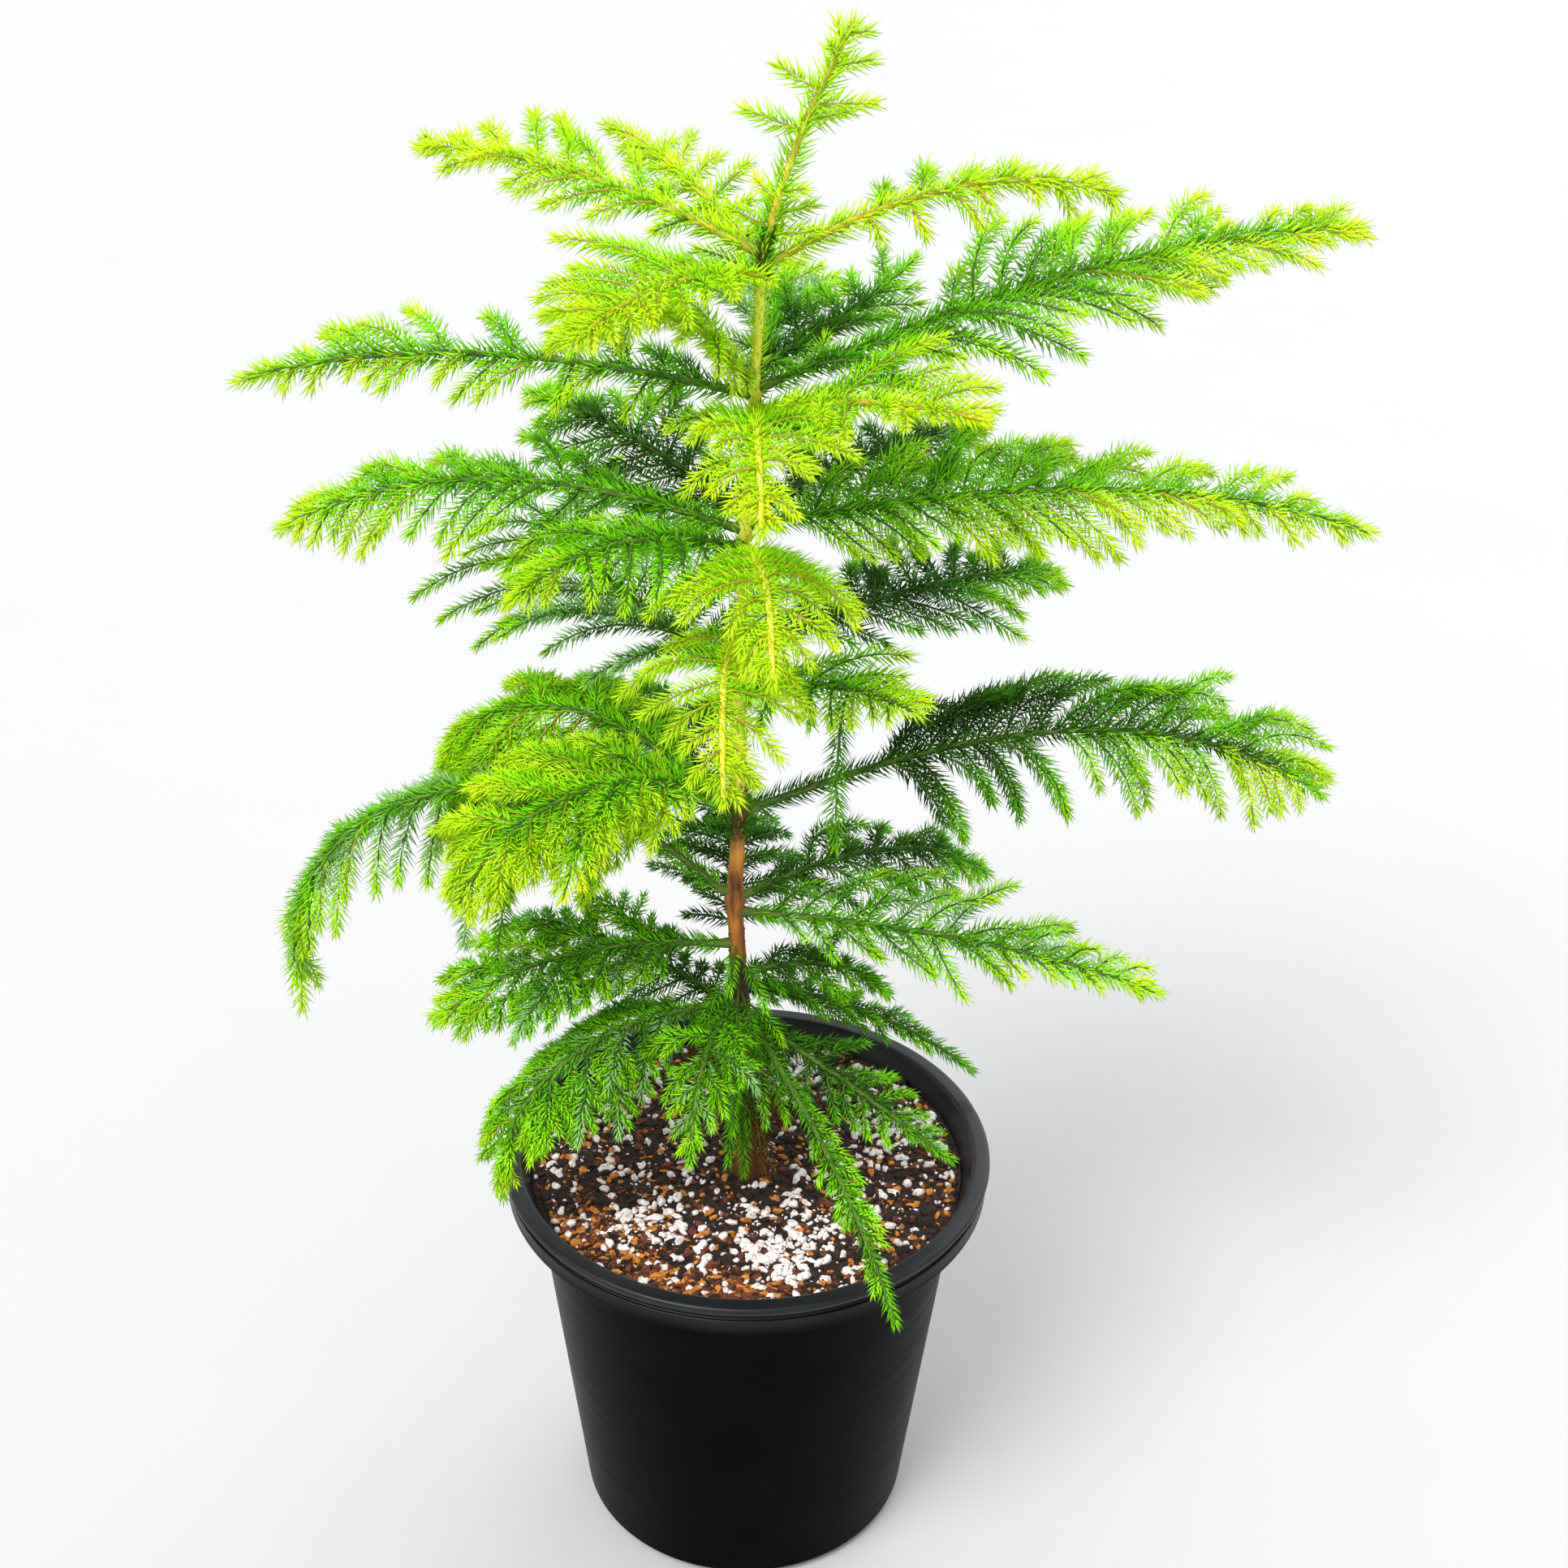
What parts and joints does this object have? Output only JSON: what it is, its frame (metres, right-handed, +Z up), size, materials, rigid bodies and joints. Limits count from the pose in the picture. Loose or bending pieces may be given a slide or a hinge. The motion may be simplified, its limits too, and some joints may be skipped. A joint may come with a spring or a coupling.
{
  "type": "potted cook pine",
  "caption": "Young tiered evergreen with a slender trunk, upturned and weeping fronds of short needles, growing in a round black nursery pot of perlite-flecked soil.",
  "frame": {"origin": "centre of the pot's flat underside", "axes": "+Z up along the trunk, +X to the plant's right as the picture sees it, +Y away from the picture's viewer"},
  "size_m": [0.348, 0.2018, 0.516],
  "materials": {
    "pot": "black moulded plastic, satin",
    "soil": "crumbly dark brown potting mix",
    "bark": "thin tan-brown bark",
    "needles_light": "young yellow-green needles",
    "needles_mid": "fresh green needles",
    "needles_dark": "dark green shaded needles"
  },
  "bodies": {
    "root": {"pot": "pot", "soil": "soil", "trunk": "bark", "bough_1_left": "bark", "bough_1_front_right": "bark", "bough_2_left": "bark", "bough_3_left": "bark", "bough_3_right": "bark", "bough_3_front_right": "bark", "bough_4_left": "bark", "bough_4_right": "bark", "bough_4_front_left": "bark", "bough_5_right": "bark", "bough_6_left": "bark", "bough_6_right": "bark", "bough_6_rear_right": "bark", "bough_7_left": "bark", "bough_7_right": "bark", "bough_7_rear": "bark", "bough_8_left": "bark", "bough_8_right": "bark", "foliage_1_left": "needles_mid", "foliage_1_rear_right": "needles_dark", "foliage_1_front_right": "needles_mid", "foliage_1_front": "needles_mid", "foliage_1_right": "needles_dark", "foliage_1_rear_left": "needles_dark", "foliage_2_left": "needles_mid", "foliage_2_right": "needles_dark", "foliage_2_rear": "needles_dark", "foliage_3_left": "needles_mid", "foliage_3_left_hanging": "needles_mid", "foliage_3_right": "needles_dark", "foliage_3_front_right": "needles_mid", "foliage_4_left": "needles_mid", "foliage_4_right": "needles_dark", "foliage_4_front_left": "needles_light", "foliage_4_rear": "needles_dark", "foliage_5_left": "needles_dark", "foliage_5_right": "needles_dark", "foliage_5_front": "needles_light", "foliage_5_front_right": "needles_mid", "foliage_6_left": "needles_mid", "foliage_6_right": "needles_mid", "foliage_6_rear_right": "needles_dark", "foliage_6_rear_left": "needles_dark", "foliage_6_front_left": "needles_mid", "foliage_6_front": "needles_light", "foliage_7_left": "needles_mid", "foliage_7_right": "needles_mid", "foliage_7_rear": "needles_dark", "foliage_7_rear_right": "needles_dark", "foliage_7_front_right": "needles_light", "foliage_7_front_left": "needles_light", "foliage_7_front": "needles_light", "foliage_8_left": "needles_light", "foliage_8_right": "needles_light", "foliage_8_front_left": "needles_light", "foliage_leader": "needles_light"}
  },
  "joints": []
}
